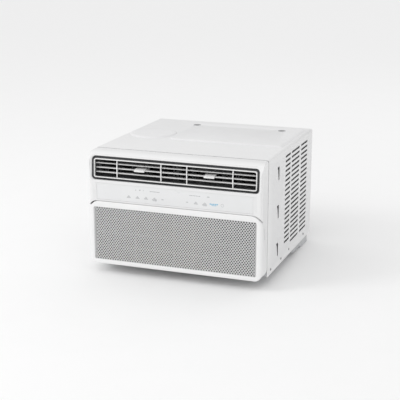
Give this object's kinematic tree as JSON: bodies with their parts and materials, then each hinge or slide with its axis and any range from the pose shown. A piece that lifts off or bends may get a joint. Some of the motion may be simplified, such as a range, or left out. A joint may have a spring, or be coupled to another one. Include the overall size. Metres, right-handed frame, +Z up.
{
  "type": "window air conditioner",
  "caption": "Window air conditioner: louvred sheet metal cabinet, plastic front with tilting intake grille and filter, steerable outlet vanes, fan, blower and sealed cooling works inside.",
  "frame": {"origin": "middle of the overall box, on the floor plane under the base pan's sump", "axes": "+X to the viewer's right when facing the front, +Y from the front towards the outdoor side, +Z up"},
  "size_m": [0.5632, 0.576, 0.395],
  "materials": {
    "cabinet_paint": "satin, light warm grey",
    "pan_steel": "galvanised, dull",
    "plug_rubber": "matt",
    "screw_steel": "plated",
    "front_plastic": "fine satin, white",
    "overlay": "printed membrane, satin",
    "circuit_board": "solder mask",
    "bezel_grey": "matt dark grey",
    "outlet_white": "satin white",
    "inner_grey": "matt",
    "foam": "moulded foam",
    "housing_plastic": "moulded",
    "zinc_sheet": "galvanised sheet",
    "fins": "thin fins",
    "copper": "drawn copper tube",
    "black_plastic": "matt black",
    "motor_shell": "grey enamel",
    "compressor_paint": "black enamel",
    "rubber": "matt",
    "steel_shaft": "ground",
    "capacitor_can": "drawn can",
    "grille_white": "satin white",
    "perforated_sheet": "perforated, satin",
    "filter_net": "woven net"
  },
  "bodies": {
    "chassis": {"base_pan": "pan_steel", "drain_plug": "plug_rubber", "cabinet": "cabinet_paint", "cabinet_screws": "screw_steel", "top_screws": "screw_steel", "front_fascia": "front_plastic", "control_overlay": "overlay", "control_board": "circuit_board", "outlet_bezel": "bezel_grey", "outlet_frame": "outlet_white", "deflector_base": "inner_grey", "air_duct": "foam", "blower_housing": "housing_plastic", "bulkhead": "zinc_sheet", "evaporator_coil": "fins", "evaporator_tubes": "copper", "evaporator_tray": "housing_plastic", "room_sensor": "black_plastic", "fan_motor": "motor_shell", "motor_bracket": "zinc_sheet", "fan_shroud": "black_plastic", "condenser_coil": "fins", "condenser_tubes": "copper", "compressor": "compressor_paint", "accumulator": "compressor_paint", "compressor_grommets": "rubber", "compressor_bolts": "screw_steel", "suction_line": "copper", "discharge_line": "copper", "capillary_tube": "copper", "filter_drier": "copper", "electrical_box": "zinc_sheet", "electrical_cover": "zinc_sheet", "main_board": "circuit_board", "run_capacitor": "capacitor_can", "cord_gland": "black_plastic"},
    "rotor": {"motor_shaft": "steel_shaft", "blower_wheel": "black_plastic", "condenser_fan": "black_plastic"},
    "grille": {"grille_frame": "grille_white", "grille_sheet": "perforated_sheet", "filter_frame": "outlet_white", "filter_mesh": "filter_net"},
    "vane_upper": {"vane_upper": "outlet_white"},
    "vane_middle": {"vane_middle": "outlet_white"},
    "vane_lower": {"vane_lower": "outlet_white"},
    "vane_link": {"vane_link": "inner_grey"},
    "tab_left": {"tab_left": "outlet_white"},
    "tab_right": {"tab_right": "outlet_white"},
    "link_left": {"link_left": "inner_grey"},
    "link_right": {"link_right": "inner_grey"},
    "blade_left_1": {"blade_left_1": "inner_grey"},
    "blade_left_2": {"blade_left_2": "inner_grey"},
    "blade_left_3": {"blade_left_3": "inner_grey"},
    "blade_left_4": {"blade_left_4": "inner_grey"},
    "blade_right_1": {"blade_right_1": "inner_grey"},
    "blade_right_2": {"blade_right_2": "inner_grey"},
    "blade_right_3": {"blade_right_3": "inner_grey"},
    "blade_right_4": {"blade_right_4": "inner_grey"}
  },
  "joints": [
    {"name": "fan_spin", "type": "hinge", "parent": "chassis", "child": "rotor", "pos_m": [0.07, 0, 0.19], "axis": [0, 1, 0], "continuous": true},
    {"name": "grille_tilt", "type": "hinge", "parent": "chassis", "child": "grille", "pos_m": [0, -0.269, 0.037], "axis": [1, 0, 0], "range_deg": [0, 30]},
    {"name": "vane_tilt", "type": "hinge", "parent": "chassis", "child": "vane_middle", "pos_m": [0, -0.269, 0.3375], "axis": [1, 0, 0], "range_deg": [-25, 25]},
    {"name": "vane_upper_tilt", "type": "hinge", "parent": "chassis", "child": "vane_upper", "pos_m": [0, -0.269, 0.3517], "axis": [1, 0, 0], "range_deg": [-25.1, 25.1]},
    {"name": "vane_lower_tilt", "type": "hinge", "parent": "chassis", "child": "vane_lower", "pos_m": [0, -0.269, 0.3233], "axis": [1, 0, 0], "range_deg": [-25.1, 25.1]},
    {"name": "vane_link_slide", "type": "slide", "parent": "chassis", "child": "vane_link", "axis": [0, 0, 1], "range_m": [-0.0027, 0.0027]},
    {"name": "tab_left_slide", "type": "slide", "parent": "vane_middle", "child": "tab_left", "axis": [1, 0, 0], "range_m": [-0.01047, 0.01047]},
    {"name": "link_left_slide", "type": "slide", "parent": "chassis", "child": "link_left", "axis": [1, 0, 0], "range_m": [-0.0063, 0.0063]},
    {"name": "blade_left_1_turn", "type": "hinge", "parent": "chassis", "child": "blade_left_1", "pos_m": [-0.05, -0.228, 0.3375], "axis": [0, 0, 1], "range_deg": [-30.1, 30.1]},
    {"name": "blade_left_2_turn", "type": "hinge", "parent": "chassis", "child": "blade_left_2", "pos_m": [-0.098, -0.228, 0.3375], "axis": [0, 0, 1], "range_deg": [-30.1, 30.1]},
    {"name": "blade_left_3_turn", "type": "hinge", "parent": "chassis", "child": "blade_left_3", "pos_m": [-0.146, -0.228, 0.3375], "axis": [0, 0, 1], "range_deg": [-30.1, 30.1]},
    {"name": "blade_left_4_turn", "type": "hinge", "parent": "chassis", "child": "blade_left_4", "pos_m": [-0.194, -0.228, 0.3375], "axis": [0, 0, 1], "range_deg": [-30.1, 30.1]},
    {"name": "tab_right_slide", "type": "slide", "parent": "vane_middle", "child": "tab_right", "axis": [1, 0, 0], "range_m": [-0.01047, 0.01047]},
    {"name": "link_right_slide", "type": "slide", "parent": "chassis", "child": "link_right", "axis": [1, 0, 0], "range_m": [-0.0063, 0.0063]},
    {"name": "blade_right_1_turn", "type": "hinge", "parent": "chassis", "child": "blade_right_1", "pos_m": [0.05, -0.228, 0.3375], "axis": [0, 0, 1], "range_deg": [-30.1, 30.1]},
    {"name": "blade_right_2_turn", "type": "hinge", "parent": "chassis", "child": "blade_right_2", "pos_m": [0.098, -0.228, 0.3375], "axis": [0, 0, 1], "range_deg": [-30.1, 30.1]},
    {"name": "blade_right_3_turn", "type": "hinge", "parent": "chassis", "child": "blade_right_3", "pos_m": [0.146, -0.228, 0.3375], "axis": [0, 0, 1], "range_deg": [-30.1, 30.1]},
    {"name": "blade_right_4_turn", "type": "hinge", "parent": "chassis", "child": "blade_right_4", "pos_m": [0.194, -0.228, 0.3375], "axis": [0, 0, 1], "range_deg": [-30.1, 30.1]}
  ],
  "couplings": [
    {"joint": "vane_upper_tilt", "follows": "vane_tilt", "ratio": 1},
    {"joint": "vane_lower_tilt", "follows": "vane_tilt", "ratio": 1},
    {"joint": "vane_link_slide", "follows": "vane_tilt", "m_per_rad": 0.006},
    {"joint": "link_left_slide", "follows": "tab_left_slide", "ratio": 0.6},
    {"joint": "blade_left_1_turn", "follows": "tab_left_slide", "rad_per_m": 50},
    {"joint": "blade_left_2_turn", "follows": "tab_left_slide", "rad_per_m": 50},
    {"joint": "blade_left_3_turn", "follows": "tab_left_slide", "rad_per_m": 50},
    {"joint": "blade_left_4_turn", "follows": "tab_left_slide", "rad_per_m": 50},
    {"joint": "link_right_slide", "follows": "tab_right_slide", "ratio": 0.6},
    {"joint": "blade_right_1_turn", "follows": "tab_right_slide", "rad_per_m": 50},
    {"joint": "blade_right_2_turn", "follows": "tab_right_slide", "rad_per_m": 50},
    {"joint": "blade_right_3_turn", "follows": "tab_right_slide", "rad_per_m": 50},
    {"joint": "blade_right_4_turn", "follows": "tab_right_slide", "rad_per_m": 50}
  ]
}
